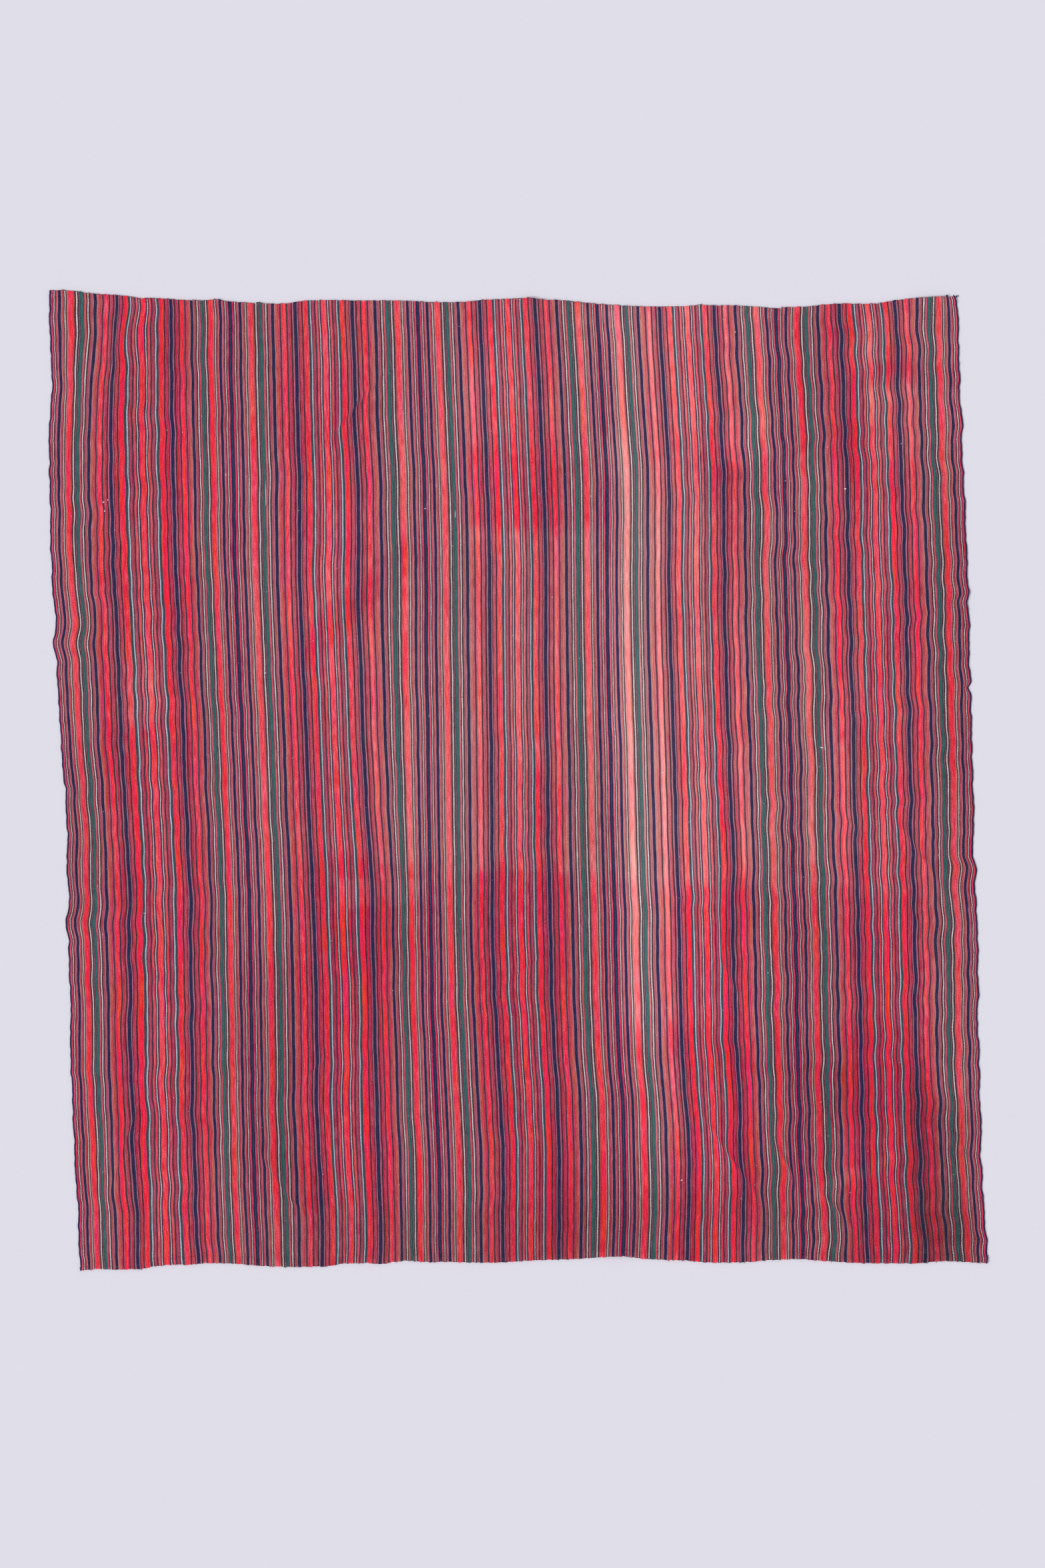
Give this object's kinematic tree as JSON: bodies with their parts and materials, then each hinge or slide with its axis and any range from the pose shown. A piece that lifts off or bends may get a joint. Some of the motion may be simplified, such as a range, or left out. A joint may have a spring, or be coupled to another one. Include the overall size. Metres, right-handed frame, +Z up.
{
  "type": "jajim",
  "caption": "Flat-woven wool floor cover of warp-striped bands sewn selvedge to selvedge, hemmed at both ends and laid flat with low ripples.",
  "frame": {"origin": "middle of the cloth's underside, on the floor", "axes": "+Z up from the floor, +Y along the warp and the sewn joins, +X across the bands"},
  "size_m": [1.768, 1.847, 0.0078],
  "materials": {
    "striped_wool": "matt hand-spun wool, warp-faced plain weave, striped in reds, navy, green and white"
  },
  "bodies": {
    "root": {"band_1": "striped_wool", "band_2": "striped_wool", "band_3": "striped_wool", "band_4": "striped_wool", "band_5": "striped_wool"}
  },
  "joints": []
}
